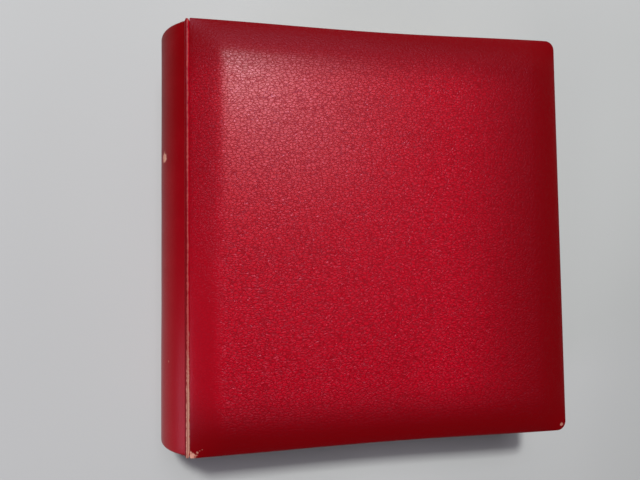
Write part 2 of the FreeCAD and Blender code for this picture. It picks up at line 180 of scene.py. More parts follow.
class AlbumSizes(bpy.types.PropertyGroup):
    """Sizes of the soft pieces that the built solids don't give."""

    shoulder: bpy.props.FloatProperty(
        name="Shoulder", description="Width of the pad's slope at head, tail and fore-edge",
        default=27 * MM, unit="LENGTH")
    seam_shoulder: bpy.props.FloatProperty(
        name="Seam shoulder", description="Width of the pad's slope beside the seam",
        default=24 * MM, unit="LENGTH")
    fullness: bpy.props.FloatProperty(
        name="Fullness", description="How full the slopes are: 1 is straight, 2 a quarter of an ellipse",
        default=1.35, min=1.0)
    seam_fullness: bpy.props.FloatProperty(
        name="Seam fullness", description="How full the slope beside the seam is",
        default=1.25, min=1.0)
    front_lift: bpy.props.FloatProperty(
        name="Front lift",
        description="How far the front pad, which nothing presses, stands above its solid",
        default=2.5 * MM, unit="LENGTH")
    swell: bpy.props.FloatProperty(
        name="Swell", description="How far a pad's filling presses the leatherette out",
        default=1.2 * MM, unit="LENGTH")
    unevenness: bpy.props.FloatProperty(
        name="Unevenness", description="Height of the slow waves in a pad",
        default=0.35 * MM, unit="LENGTH")
    head_draw: bpy.props.FloatProperty(
        name="Head draw", description="How far a cover's head edge is drawn in between its corners",
        default=1.8 * MM, unit="LENGTH")
    tail_draw: bpy.props.FloatProperty(
        name="Tail draw", description="How far a cover's tail edge is drawn in between its corners",
        default=1.5 * MM, unit="LENGTH")
    edge_corner: bpy.props.FloatProperty(
        name="Fore-edge corner", description="Radius of a cover's fore-edge corners",
        default=7.5 * MM, unit="LENGTH")
    seam_corner: bpy.props.FloatProperty(
        name="Seam corner", description="Radius of a cover's corners beside the seam",
        default=0.9 * MM, unit="LENGTH")
    edge_roll: bpy.props.FloatProperty(
        name="Edge roll", description="Radius of the leatherette where it turns over a board's edge",
        default=1.2 * MM, unit="LENGTH")
    spine_bow: bpy.props.FloatProperty(
        name="Spine bow", description="How far the spine's ends are drawn in at the middle of the bulge",
        default=0.8 * MM, unit="LENGTH")
    fold_overhang: bpy.props.FloatProperty(
        name="Fold overhang", description="How far a fold reaches past its solid at head and tail",
        default=1.9 * MM, unit="LENGTH")
    spine_turn_in: bpy.props.FloatProperty(
        name="Spine turn-in", description="Leatherette turned into the hollow back at each end",
        default=9 * MM, unit="LENGTH")
    hinge_reach: bpy.props.FloatProperty(
        name="Hinge reach", description="Hinge cloth glued to a cover's lining",
        default=14 * MM, unit="LENGTH")
    hinge_thickness: bpy.props.FloatProperty(
        name="Hinge thickness", description="Hinge cloth",
        default=0.24 * MM, unit="LENGTH")
    leaf_thickness: bpy.props.FloatProperty(
        name="Leaf thickness", description="Paper of a leaf",
        default=0.55 * MM, unit="LENGTH")
    leaf_wave: bpy.props.FloatProperty(
        name="Leaf wave", description="Height of the waves in a leaf",
        default=0.4 * MM, unit="LENGTH")
    leaf_stagger: bpy.props.FloatProperty(
        name="Leaf stagger", description="How far the leaves' outer edges lie behind each other",
        default=0.8 * MM, unit="LENGTH")
    guard_corner: bpy.props.FloatProperty(
        name="Guard corner", description="Radius of a leaf's corners beside its guard",
        default=0.5 * MM, unit="LENGTH")
    leaf_corner: bpy.props.FloatProperty(
        name="Leaf corner", description="Radius of a leaf's outer corners",
        default=4 * MM, unit="LENGTH")
    grain: bpy.props.FloatProperty(
        name="Grain", description="Width of one pebble of the leatherette's grain",
        default=2.3 * MM, unit="LENGTH")


class AlbumColours(bpy.types.PropertyGroup):
    """Colours of the album's finishes."""

    leather: bpy.props.FloatVectorProperty(
        name="Leatherette", description="Red of the leatherette",
        subtype="COLOR", default=(0.52, 0.002, 0.015), min=0, max=1)
    # Painted shade: a darker red laid on the pads' slopes, on the spine towards its head and on each
    # fold's flank towards the spine.
    leather_slope_shade: bpy.props.FloatVectorProperty(
        name="Leatherette, smooth", description="Red where the leatherette is drawn smooth",
        subtype="COLOR", default=(0.175, 0.0005, 0.0018), min=0, max=1)
    sheen: bpy.props.FloatVectorProperty(
        name="Leatherette, sheen", description="Tint of the leatherette's gloss",
        subtype="COLOR", default=(1.0, 0.6, 0.9), min=0, max=1)
    # A deep red: random clouds of darker tone, and painted shade in the grain's creases and in the
    # folds' cracks.
    leather_deep_and_crease_shade: bpy.props.FloatVectorProperty(
        name="Leatherette, deep", description="Red in the grain's creases",
        subtype="COLOR", default=(0.18, 0.0006, 0.003), min=0, max=1)
    worn: bpy.props.FloatVectorProperty(
        name="Worn leatherette", description="Leatherette rubbed thin",
        subtype="COLOR", default=(0.5, 0.1, 0.09), min=0, max=1)
    bare_board: bpy.props.FloatVectorProperty(
        name="Bare board", description="Cream board that shows through",
        subtype="COLOR", default=(0.68, 0.4, 0.28), min=0, max=1)
    greyboard: bpy.props.FloatVectorProperty(
        name="Greyboard", description="Boards inside the covers and spine",
        subtype="COLOR", default=(0.33, 0.29, 0.23), min=0, max=1)
    lining: bpy.props.FloatVectorProperty(
        name="Lining", description="Paper inside the covers",
        subtype="COLOR", default=(0.66, 0.58, 0.44), min=0, max=1)
    paper: bpy.props.FloatVectorProperty(
        name="Leaf paper", description="Leaves",
        subtype="COLOR", default=(0.74, 0.69, 0.57), min=0, max=1)
    ruling: bpy.props.FloatVectorProperty(
        name="Ruling", description="Squares ruled on the leaves",
        subtype="COLOR", default=(0.52, 0.53, 0.52), min=0, max=1)
    card: bpy.props.FloatVectorProperty(
        name="Guard card", description="Guard strips",
        subtype="COLOR", default=(0.62, 0.54, 0.4), min=0, max=1)
    linen: bpy.props.FloatVectorProperty(
        name="Linen", description="Linen folds and hinge cloths",
        subtype="COLOR", default=(0.64, 0.58, 0.47), min=0, max=1)
    steel: bpy.props.FloatVectorProperty(
        name="Steel", description="Channel, rivets and washers",
        subtype="COLOR", default=(0.46, 0.47, 0.48), min=0, max=1)
    brass: bpy.props.FloatVectorProperty(
        name="Brass", description="Screws and bushes",
        subtype="COLOR", default=(0.6, 0.4, 0.15), min=0, max=1)


class AlbumFinish(bpy.types.PropertyGroup):
    """Depth, gloss and dullness of the album's finishes."""

    grain_depth: bpy.props.FloatProperty(
        name="Grain depth", description="Depth of the leatherette's creases",
        default=0.26 * MM, unit="LENGTH")
    crease_shade: bpy.props.FloatProperty(
        name="Crease shade", description="How much of the deep red lies in the creases",
        default=0.85, min=0, max=1)
    cover_gloss: bpy.props.FloatProperty(
        name="Cover gloss", description="Clear gloss on the pebbles of the covers",
        default=0.31, min=0, max=1)
    cover_satin: bpy.props.FloatProperty(
        name="Cover satin", description="Soft tinted gloss of the covers",
        default=0.13, min=0, max=1)
    spine_gloss: bpy.props.FloatProperty(
        name="Spine gloss", description="Clear gloss on the spine",
        default=0.6, min=0, max=1)
    spine_satin: bpy.props.FloatProperty(
        name="Spine satin", description="Soft tinted gloss of the spine",
        default=0.04, min=0, max=1)
    gloss_roughness: bpy.props.FloatProperty(
        name="Gloss roughness", description="How far the clear gloss is spread",
        default=0.32, min=0, max=1)
    channel_dullness: bpy.props.FloatProperty(
        name="Channel dullness", description="How dull the channel's steel is",
        default=0.64, min=0, max=1)
    washer_dullness: bpy.props.FloatProperty(
        name="Washer dullness", description="How dull the rivets and washers are",
        default=0.5, min=0, max=1)
    brass_dullness: bpy.props.FloatProperty(
        name="Brass dullness", description="How dull the screws and bushes are",
        default=0.48, min=0, max=1)


class AlbumStage(bpy.types.PropertyGroup):
    """Floor, lamps and camera."""

    floor: bpy.props.FloatVectorProperty(
        name="Floor", description="Colour of the floor",
        subtype="COLOR", default=(0.52, 0.545, 0.525), min=0, max=1)
    sky: bpy.props.FloatProperty(
        name="Sky", description="Strength of the even light all round", default=0.03)
    sky_colour: bpy.props.FloatVectorProperty(
        name="Sky colour", description="Colour of the even light all round",
        subtype="COLOR", default=(1.0, 0.8, 0.92), min=0, max=1)
    window: bpy.props.FloatProperty(
        name="Window", description="Power of the lamp beyond the head, in watts", default=81.0)
    ceiling: bpy.props.FloatProperty(
        name="Ceiling", description="Power of the wide lamp overhead, in watts", default=11.5)
    side: bpy.props.FloatProperty(
        name="Side", description="Power of the lamp beyond the spine, in watts", default=4.0)
    lens: bpy.props.FloatProperty(
        name="Lens", description="Focal length in millimetres", default=25.64)
    eye: bpy.props.FloatVectorProperty(
        name="Eye", description="Where the camera is", subtype="TRANSLATION",
        default=(-0.09122, -0.01812, 0.42627), unit="LENGTH")
    turn: bpy.props.FloatVectorProperty(
        name="Turn", description="How the camera is turned from looking straight down",
        subtype="EULER", default=(math.radians(2.30), math.radians(-8.724), math.radians(-0.713)))


class Wire:
    """A socket of a material. Sums on wires add Math nodes, and node() adds any other node."""

    def __init__(self, tree, socket=None):
        self.tree = tree
        self.socket = socket

    def node(self, kind, settings=None, sockets=None, output=0):
        """Add a node: first its settings, then the values or links of its sockets."""
        made = self.tree.nodes.new(kind)
        for name, value in (settings or {}).items():
            setattr(made, name, value)
        for name, value in (sockets or {}).items():
            feed(self.tree, made.inputs[name], value)
        return Wire(self.tree, made.outputs[output])

    def math(self, operation, first, second):
        return self.node("ShaderNodeMath", {"operation": operation}, {0: first, 1: second})

    def __add__(self, other):
        return self.math("ADD", self, other)

    def __radd__(self, other):
        return self.math("ADD", other, self)

    def __sub__(self, other):
        return self.math("SUBTRACT", self, other)

    def __rsub__(self, other):
        return self.math("SUBTRACT", other, self)

    def __mul__(self, other):
        return self.math("MULTIPLY", self, other)

    def __rmul__(self, other):
        return self.math("MULTIPLY", other, self)

    def __abs__(self):
        return self.node("ShaderNodeMath", {"operation": "ABSOLUTE"}, {0: self})

    def least(self, other):
        return self.math("MINIMUM", self, other)

    def most(self, other):
        return self.math("MAXIMUM", self, other)


def feed(tree, socket, value):
    """Link a wire to a socket, or set its number or colour."""
    if isinstance(value, Wire):
        tree.links.new(value.socket, socket)
    elif socket.type == "RGBA":
        socket.default_value = (*value[:3], 1.0)
    else:
        socket.default_value = value


def rise(value, low, high):
    """0 below low, 1 above high and smooth between them; falls where low is the larger."""
    return value.node(
        "ShaderNodeMapRange", {"interpolation_type": "SMOOTHSTEP"},
        {"Value": value, "From Min": low, "From Max": high})


def at_least(least, share):
    """A share that ran from 0 to 1, squeezed to run from this least value to 1."""
    return least + (1 - least) * share


def shaded(colour, factor):
    """The colour made darker, or paler where the factor is above 1."""
    return [factor * channel for channel in colour]


def mix(share, first, second):
    """The first colour where the share is 0, the second where it is 1."""
    return share.node("ShaderNodeMix", {"data_type": "RGBA"}, {0: share, 6: first, 7: second}, 2)


def to_and_fro(value, step):
    """Rises from 0 to 1 over a step and falls back over the next."""
    return value.node("ShaderNodeMath", {"operation": "PINGPONG"}, {0: value * (1 / step), 1: 1.0})


def mottle(place, size, detail=3.0):
    """Cloudy variation from 0 to 1, with clouds of about this size."""
    return place.node(
        "ShaderNodeTexNoise", {},
        {"Vector": place, "Scale": 1 / size, "Detail": detail, "Roughness": 0.55}, "Fac")


def swayed(place, size, reach):
    """The place, pushed about by cloudy variation, so that straight patterns become irregular."""
    push = place.node(
        "ShaderNodeTexNoise", {}, {"Vector": place, "Scale": 1 / size, "Detail": 2.0}, "Color")
    return place.node(
        "ShaderNodeVectorMath", {"operation": "MULTIPLY_ADD"},
        {0: push, 1: (2 * reach,) * 3, 2: place})


def stretched(place, stretch):
    """The place with each direction multiplied."""
    return place.node("ShaderNodeVectorMath", {"operation": "MULTIPLY"}, {0: place, 1: stretch})


def split(place, axes):
    """The place's measures along these axes."""
    return [place.node("ShaderNodeSeparateXYZ", {}, {0: place}, axis) for axis in axes]


def pebbles(place, size, groove):
    """1 on the pebbles of a crinkled grain and 0 in the creases between them."""
    edge = place.node(
        "ShaderNodeTexVoronoi", {"feature": "DISTANCE_TO_EDGE"},
        {"Vector": place, "Scale": 1 / size}, "Distance")
    return rise(edge, 0.0, groove)


def spot(place, centre, reach, ragged):
    """1 near a worn spot and 0 away from it, with a ragged outline."""
    away = place.node(
        "ShaderNodeVectorMath", {"operation": "DISTANCE"}, {0: place, 1: centre}, "Value")
    away = away + ragged * (mottle(place, 2.2 * MM) - 0.5)
    fully_worn = 0.55 * reach
    return rise(away, reach, fully_worn)


def new_finish(name):
    """A material, its surface shader, and the place on the object that its patterns follow."""
    material = bpy.data.materials.new(name)
    material.use_nodes = True
    tree = material.node_tree
    place = Wire(tree).node("ShaderNodeTexCoord", output="Object")
    return material, tree.nodes["Principled BSDF"], place


def surface(shader, place, height, depth, **sockets):
    """Feed the surface shader, with relief of this depth where the height goes from 0 to 1."""
    sockets["Normal"] = place.node("ShaderNodeBump", {}, {"Height": height, "Distance": depth})
    for name, value in sockets.items():
        feed(place.tree, shader.inputs[name.replace("_", " ")], value)


def leatherette(name, scene, grain, worn, gloss, satin):
    """Crinkled leatherette, with painted shade in its creases. grain(place) gives the strength of its
    grain and how full its red is, where a less full red is painted shade, and worn(place) says where
    it is rubbed through to the board."""
    sizes, colours, looks = scene.album_sizes, scene.album_colours, scene.album_finish
    material, shader, place = new_finish(name)
    strength, fullness = grain(place)
    crinkled = swayed(stretched(place, GRAIN_STRETCH), size=5 * MM, reach=0.9 * MM)
    coarse = pebbles(crinkled, sizes.grain, groove=0.2)
    fine = pebbles(crinkled, FINE_GRAIN * sizes.grain, groove=0.24)
    relief = COARSE_SHARE * coarse + (1 - COARSE_SHARE) * fine
    crease = strength * (1 - relief)
    clouds = rise(mottle(place, 60 * MM), 0.45, 0.75)
    pores = mottle(place, 0.5 * MM, detail=2.0)
    # Painted shade: where the red is less full it turns to the darker slope red.
    red = mix(fullness, colours.leather_slope_shade, colours.leather)
    # Painted shade: the grain's creases are darkened.
    red = mix(looks.crease_shade * crease, red, colours.leather_deep_and_crease_shade)
    red = mix(0.12 * clouds, red, colours.leather_deep_and_crease_shade)
    rough = 0.42 - 0.2 * fullness + 0.1 * crease
    coat = gloss * at_least(0.15, fullness) * (1 - crease) * (0.7 + 0.6 * pores)
    height = strength * relief + 0.03 * pores
    # Where the leatherette is rubbed through, the board's fibres show, dull and a little lower.
    rubbed = worn(place)
    fibres = mottle(stretched(place, (1.0, 0.35, 1.0)), 0.8 * MM)
    bare = mix(0.6 * fibres, colours.bare_board, colours.worn)
    red = mix(rubbed, red, bare)
    rough = rough + 0.5 * rubbed
    coat = coat * (1 - rubbed)
    height = height - 0.8 * rubbed + 0.5 * rubbed * fibres
    surface(
        shader, place, height, looks.grain_depth, Base_Color=red, Roughness=rough, Coat_Weight=coat,
        Coat_Roughness=looks.gloss_roughness, Specular_IOR_Level=satin, Specular_Tint=colours.sheen)
    return material


def make_piece(name, points, faces, material, sharp=50):
    """A mesh piece with a material, smooth except at sharp edges."""
    mesh = bpy.data.meshes.new(name)
    mesh.from_pydata([tuple(point) for point in points], [], faces)
    form = bmesh.new()
    form.from_mesh(mesh)
    bmesh.ops.recalc_face_normals(form, faces=form.faces)
    form.to_mesh(mesh)
    form.free()
    mesh.shade_smooth()
    mesh.set_sharp_from_angle(angle=math.radians(sharp))
    if material:
        mesh.materials.append(material)
    piece = bpy.data.objects.new(name, mesh)
    bpy.context.scene.collection.objects.link(piece)
    return piece


def grid_faces(rows, columns, start=0):
    """Faces of a grid of points, row after row."""
    faces = []
    for row in range(rows - 1):
        for column in range(columns - 1):
            corner = start + row * columns + column
            faces.append((corner, corner + 1, corner + columns + 1, corner + columns))
    return faces


def band_faces(first, second):
    """Faces between two closed rings of point numbers."""
    count = len(first)
    return [
        (first[k], first[(k + 1) % count], second[(k + 1) % count], second[k])
        for k in range(count)]


def rim_of(rows, columns):
    """Point numbers round the outside of a grid."""
    bottom = list(range(columns))
    right = [row * columns + columns - 1 for row in range(1, rows)]
    top = [(rows - 1) * columns + column for column in range(columns - 2, -1, -1)]
    left = [row * columns for row in range(rows - 2, 0, -1)]
    return bottom + right + top + left


def round_corners(x, y, low, high, seam_radius, edge_radius):
    """Draw the corners of a rectangle's grid in to their radii."""
    x, y = x.copy(), y.copy()
    for side, end_x, radius in ((-1, low.x, seam_radius), (1, high.x, edge_radius)):
        for end, end_y in ((-1, low.y), (1, high.y)):
            centre_x = end_x - side * radius
            centre_y = end_y - end * radius
            across = np.clip(side * (x - centre_x) / radius, 0, 1)
            along = np.clip(end * (y - centre_y) / radius, 0, 1)
            corner = (across > 0) & (along > 0)
            x = np.where(corner, centre_x + side * radius * across * np.sqrt(1 - along**2 / 2), x)
            y = np.where(corner, centre_y + end * radius * along * np.sqrt(1 - across**2 / 2), y)
    return x, y


def stations(low, high, low_slope, high_slope):
    """Places across a pad, closer together on its two slopes."""
    turn = 1 - np.cos(np.linspace(0, math.pi / 2, SLOPE_STEPS + 1))
    first, last = low + low_slope, high - high_slope
    crown = np.linspace(first, last, round((last - first) / CROWN_STEP) + 1)
    return np.concatenate([low + low_slope * turn[:-1], crown, (high - high_slope * turn[:-1])[::-1]])


def drawn_in(x, y, sizes):
    """Draw a cover's head and tail edges in between their corners."""
    middle = np.sin(math.pi * (x - FRONT_LOW.x) / (FRONT_HIGH.x - FRONT_LOW.x)) ** 2
    return y - middle * np.where(
        y > 0, sizes.head_draw * y / FRONT_HIGH.y, -sizes.tail_draw * y / FRONT_LOW.y)


def padded_rise(across, fullness):
    """Rise of a padded slope, from 0 at the edge to 1 on the crown."""
    return (1 - (1 - np.clip(across, 0, 1)) ** fullness) ** (1 / fullness)


def waves(x, y, length_x, length_y, seed):
    """Slow waves from -1 to 1 over a grid of places, of about these lengths."""
    heights = [
        noise.noise(Vector((px / length_x, py / length_y, seed)))
        for px, py in zip(x.flat, y.flat)]
    return np.array(heights).reshape(x.shape)


def pressed_out(points, faces, rim, swell):
    """Let a pad's filling press a sheet out, held by its rim, as a simulated cloth.
    What moves most moves by the swell."""
    scene = bpy.context.scene
    sheet = make_piece("pressed_sheet", points, faces, None)
    held = sheet.vertex_groups.new(name="rim")
    held.add(rim, 1.0, "REPLACE")
    cloth = sheet.modifiers.new("filling", "CLOTH")
    cloth.settings.vertex_group_mass = held.name
    cloth.settings.use_pressure = True
    cloth.settings.uniform_pressure_force = FILLING_PRESSURE
    cloth.settings.effector_weights.gravity = 0.0
    cloth.collision_settings.use_collision = False
    for tick in range(1, SETTLE_TICKS + 1):
        scene.frame_set(tick)
    settled = sheet.evaluated_get(bpy.context.evaluated_depsgraph_get())
    start = np.array(points)
    moved = np.array([vertex.co for vertex in settled.data.vertices]) - start
    scene.frame_set(1)
    bpy.data.meshes.remove(sheet.data)
    return start + moved * swell / np.linalg.norm(moved, axis=1).max()


def pad_height(x, y, sizes, lift):
    """Height of a pad above its cover's inner face, over a grid of places."""
    low, high = FRONT_LOW, FRONT_HIGH
    crown = high.z - BEAD_HIGH.z + lift - sizes.swell
    slopes = (
        padded_rise((x - low.x) / sizes.seam_shoulder, sizes.seam_fullness)
        * padded_rise((high.x - x) / sizes.shoulder, sizes.fullness)
        * padded_rise((y - low.y) / sizes.shoulder, sizes.fullness)
        * padded_rise((high.y - y) / sizes.shoulder, sizes.fullness))
    uneven = sizes.unevenness * waves(x, y, length_x=75 * MM, length_y=90 * MM, seed=3.7)
    return COVER_EDGE + crown * slopes + uneven * slopes**2


def edge_section(sizes):
    """(inset, height) of the leatherette from below the pad's rim, over the board's edge, along the
    turn-in to the lining and back round the board to its outer face."""
    turn_in = LINING_LOW.x - FRONT_LOW.x - LINING_PLAY
    cavity = SKIN - BOARD_PLAY
    roll = [
        (sizes.edge_roll * (1 - math.sin(turn)), sizes.edge_roll * (1 - math.cos(turn)))
        for turn in np.linspace(math.pi / 2, 0, ROLL_STEPS)]
    return [
        (0.0, 0.6 * COVER_EDGE), *roll, (0.5 * turn_in, 0.0), (turn_in - SHARPEST, 0.0),
        (turn_in, SHARPEST), (turn_in, cavity), (cavity, cavity),
        (cavity, BOARD_HIGH.z - FRONT_LOW.z + BOARD_PLAY)]


def cover_points(sizes, lift):
    """Points of a dressed cover as (x, y, height above its inner face), and its faces.
    The pad's crown stands above the built solid by the lift."""
    low, high = FRONT_LOW, FRONT_HIGH
    across = stations(low.x, high.x, sizes.seam_shoulder, sizes.shoulder)
    along = stations(low.y, high.y, sizes.shoulder, sizes.shoulder)
    x, y = np.meshgrid(across, along)
    height = pad_height(x, y, sizes, lift)
    rim = rim_of(*x.shape)
    faces = grid_faces(*x.shape)
    rim_x, rim_y = x.flat[rim], y.flat[rim]
    x, y = round_corners(x, y, low, high, sizes.seam_corner, sizes.edge_corner)
    points = list(zip(x.flat, drawn_in(x, y, sizes).flat, height.flat))
    points = [tuple(point) for point in pressed_out(points, faces, rim, sizes.swell)]
    ring = rim
    for inset, ring_height in edge_section(sizes):
        inner_low = low + Vector((inset, inset, 0))
        inner_high = high - Vector((inset, inset, 0))
        ring_x = inner_low.x + (rim_x - low.x) * (inner_high.x - inner_low.x) / (high.x - low.x)
        ring_y = inner_low.y + (rim_y - low.y) * (inner_high.y - inner_low.y) / (high.y - low.y)
        ring_x, ring_y = round_corners(
            ring_x, ring_y, inner_low, inner_high,
            max(sizes.seam_corner - inset, SHARPEST), max(sizes.edge_corner - inset, SHARPEST))
        ring_y = drawn_in(ring_x, ring_y, sizes)
        next_ring = list(range(len(points), len(points) + len(rim)))
        points += [(px, py, ring_height) for px, py in zip(ring_x, ring_y)]
        faces += band_faces(ring, next_ring)
        ring = next_ring
    faces.append(ring)
    return points, faces


def cover_grain(place):
    """Strength of a cover's grain, smoother towards its edges, and fullness of its red, which drops
    towards its edges as painted shade, reaching far in from the fore-edge.
    """
    x, y = split(place, "XY")
    from_seam = x - FRONT_LOW.x
    from_fore_edge = FRONT_HIGH.x - x
    from_end = (y - FRONT_LOW.y).least(FRONT_HIGH.y - y)
    strength = at_least(0.4, rise(from_fore_edge, 4 * MM, 34 * MM))
    strength = strength * at_least(0.35, rise(from_end, 6 * MM, 30 * MM))
    rubbed_smooth = rise(from_seam, 30 * MM, 14 * MM) * rise(y, 70 * MM, -70 * MM)
    strength = strength * (1 - 0.65 * rubbed_smooth)
    # Painted shade: the red is less full beside the seam, along a wandering line, and falls off towards
    # the fore-edge and the ends.
    wandering = from_seam + 9 * MM * (mottle(place, 28 * MM) - 0.5)
    fullness = at_least(0.5, rise(wandering, 14 * MM, 29 * MM))
    fullness = fullness * rise(from_fore_edge, 8 * MM, 110 * MM) * rise(from_end, 10 * MM, 52 * MM)
    return strength, fullness


def front_wear(place):
    """Where the front cover is rubbed through: its two tail corners and a trail of scuffs."""
    seam_corner = Vector((FRONT_LOW.x, FRONT_LOW.y, BEAD_HIGH.z))
    far_corner = (FRONT_HIGH.x - 4 * MM, FRONT_LOW.y + 5 * MM, BEAD_HIGH.z + 1 * MM)
    worn = spot(place, seam_corner, reach=5.5 * MM, ragged=7 * MM)
    for step in range(SCUFFS):
        scuff = seam_corner + SCUFF_START + step * SCUFF_STEP
        worn = worn.most(0.5 * spot(place, scuff, reach=1 * MM, ragged=2.4 * MM))
    return worn.most(0.6 * spot(place, far_corner, reach=1.8 * MM, ragged=3 * MM))


def back_wear(place):
    """Where the back cover is rubbed through: one head corner."""
    head_corner = (BACK_HIGH.x - 3 * MM, BACK_HIGH.y - 3 * MM, BACK_LOW.z + 5 * MM)
    return 0.7 * spot(place, head_corner, reach=3 * MM, ragged=4 * MM)


class ALBUM_OT_dress_covers(bpy.types.Operator):
    """Pad both covers and dress them in crinkled leatherette, turned in round their boards"""

    bl_idname = "album.dress_covers"
    bl_label = "Dress covers"

    def execute(self, context):
        scene = context.scene
        sizes, looks = scene.album_sizes, scene.album_finish
        for side, body, base, outward, lift, wear in (
            ("front", "front_cover", FRONT_LOW.z, 1, sizes.front_lift, front_wear),
            ("back", "back_cover", BACK_HIGH.z, -1, 0.0, back_wear),
        ):
            points, faces = cover_points(sizes, lift)
            finish = leatherette(
                f"{side}_leatherette", scene, cover_grain, wear, looks.cover_gloss, looks.cover_satin)
            placed = [(x, y, base + outward * height) for x, y, height in points]
            cover = make_piece(f"{side}_padded_cover", placed, faces, finish)
            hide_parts(f"{side}_skin", f"{side}_pad", f"{side}_board")
            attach(cover, body)
        return {"FINISHED"}


def spine_section(sizes):
    """(y, depth below the surface) from the turn-in at the tail to the turn-in at the head."""
    inner_face = SPINE_RADIUS - (SPINE_X - SHELL_LOW.x) + WRAP_DEPTH
    roll = (inner_face + WRAP_PLAY) / 2
    end = SPINE_HIGH.y - roll + WRAP_OVERHANG
    bend = [
        (end + roll * math.sin(turn), roll * (1 - math.cos(turn)))
        for turn in np.linspace(0, math.pi, WRAP_STEPS)]
    straight = np.linspace(-end, end, round(2 * end / CROWN_STEP))
    inside = [(end - share * sizes.spine_turn_in, 2 * roll) for share in (0.5, 1.0)]
    head = bend + inside
    tail = [(-y, depth) for y, depth in reversed(head)]
    return tail + [(y, 0.0) for y in straight[1:-1]] + head


def spine_points(section, widest, sizes):
    """Points of the spine's leatherette, row after row of its section, out to the widest turn."""
    hollow = SPINE_RADIUS - max(depth for _, depth in section)
    seat = math.asin((SPINE_BOARD_HIGH.z - MIDDLE_Z) / hollow) - SEAT_ROOM / hollow
    points = []
    for y, depth in section:
        for turn in np.linspace(-widest, widest, SPINE_STEPS + 1):
            radius = SPINE_RADIUS - (depth if abs(turn) < seat else min(depth, TUCK))
            if depth == 0:
                radius += RIPPLE * noise.noise(Vector((y / (50 * MM), turn / 0.4, 1.3)))
            bow = 1 - sizes.spine_bow / SPINE_HIGH.y * math.cos(turn) ** 2
            points.append((
                SPINE_X - radius * math.cos(turn), y * bow, MIDDLE_Z + radius * math.sin(turn)))
    return points


def spine_grain(place):
    """Strength of the spine's faint grain and fullness of its red, which grows towards the tail: a
    painted gradient from shade at the head to light at the tail, with random clouds.
    """
    [y] = split(place, "Y")
    clouds = rise(mottle(place, 25 * MM), 0.4, 0.7)
    # Painted light and shade: the red is darkest at the head and fuller towards the tail; the clouds are
    # random tone.
    return 0.1 + 0.12 * clouds, 0.06 * clouds + 0.4 * rise(y, SPINE_HIGH.y, SPINE_LOW.y)


def spine_wear(place):
    """Where the spine is rubbed through: a chip in its upper half and a fleck in its lower half."""
    chip = (SPINE_LOW.x + 5.5 * MM, 59.5 * MM, MIDDLE_Z + 21 * MM)
    fleck = (SPINE_LOW.x + 8 * MM, -94 * MM, MIDDLE_Z + 28 * MM)
    chipped = spot(place, chip, reach=4.8 * MM, ragged=6 * MM)
    return chipped.most(0.6 * spot(place, fleck, reach=2 * MM, ragged=3 * MM))


class ALBUM_OT_dress_spine(bpy.types.Operator):
    """Draw smooth leatherette round the back and turn it in at head and tail"""

    bl_idname = "album.dress_spine"
    bl_label = "Dress spine"

    def execute(self, context):
        scene = context.scene
        sizes, looks = scene.album_sizes, scene.album_finish
        section = spine_section(sizes)
        widest = math.acos((SPINE_X - SPINE_HIGH.x) / SPINE_RADIUS) + SPINE_LAP / SPINE_RADIUS
        points = spine_points(section, widest, sizes)
        faces = grid_faces(len(section), SPINE_STEPS + 1)
        finish = leatherette(
            "spine_leatherette", scene, spine_grain, spine_wear, looks.spine_gloss, looks.spine_satin)
        spine = make_piece("spine_leatherette", points, faces, finish)
        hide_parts("spine_skin")
        2 * widest * SPINE_RADIUS
        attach(spine, "spine")
        return {"FINISHED"}


def fold_finish(name, scene, seam, outward):
    """Leatherette of a fold, rubbed pale along its ridge and most of all towards the tail, with
    painted shade in a crack beside the ridge and on the flank towards the spine.
    """
    colours, looks = scene.album_colours, scene.album_finish
    material, shader, place = new_finish(name)
    x, y, z = split(place, "XYZ")
    up = outward * (z - seam.z) * (1 / FOLD_RADIUS)
    side = x - seam.x - 0.5 * MM
    wander = mottle(stretched(place, (0.0, 1.0, 0.0)), 22 * MM) - 0.5
    ragged = mottle(place, 1.6 * MM)
    towards_tail = rise(y, 0.0, -150 * MM)
    # A ragged stripe along the ridge is rubbed, wider towards the tail, where the board shows.
    off_ridge = abs(side - 0.9 * MM * wander)
    frayed = mottle(place, 5 * MM) + 0.6 * ragged - 0.8
    width = (0.3 + 0.75 * towards_tail) * MM + 1.5 * MM * frayed
    rubbed = rise(off_ridge - width, 0.3 * MM, -0.2 * MM) * rise(up, 0.1, 0.4)
    rubbed = rubbed * (0.65 + 0.3 * towards_tail)
    bare = rise(towards_tail + 0.9 * (ragged - 0.5), 0.4, 0.95)
    pale = mix(0.7 * bare, colours.worn, colours.bare_board)
    # Beside the ridge a crack is cut into the relief and darkened with painted shade, more towards the
    # tail.
    crack_and_shade = rise(abs(side + 0.4 * MM - 0.7 * MM * wander), 0.3 * MM, 0.1 * MM) * towards_tail
    # Painted shade: the flank towards the spine takes the darker slope red, the flank towards the cover
    # the full red.
    red = mix(rise(side, 0.0, 0.8 * MM), colours.leather_slope_shade, colours.leather)
    colour = mix(rubbed, red, pale)
    colour = mix(0.75 * crack_and_shade, colour, colours.leather_deep_and_crease_shade)
    fibres = mottle(stretched(place, (1.0, 0.4, 1.0)), 0.7 * MM)
    height = fibres * at_least(0.4, rubbed) - 0.8 * crack_and_shade
    surface(
        shader, place, height, 0.35 * MM, Base_Color=colour, Roughness=0.42 + 0.35 * rubbed,
        Specular_IOR_Level=looks.cover_satin, Specular_Tint=colours.sheen)
    return material


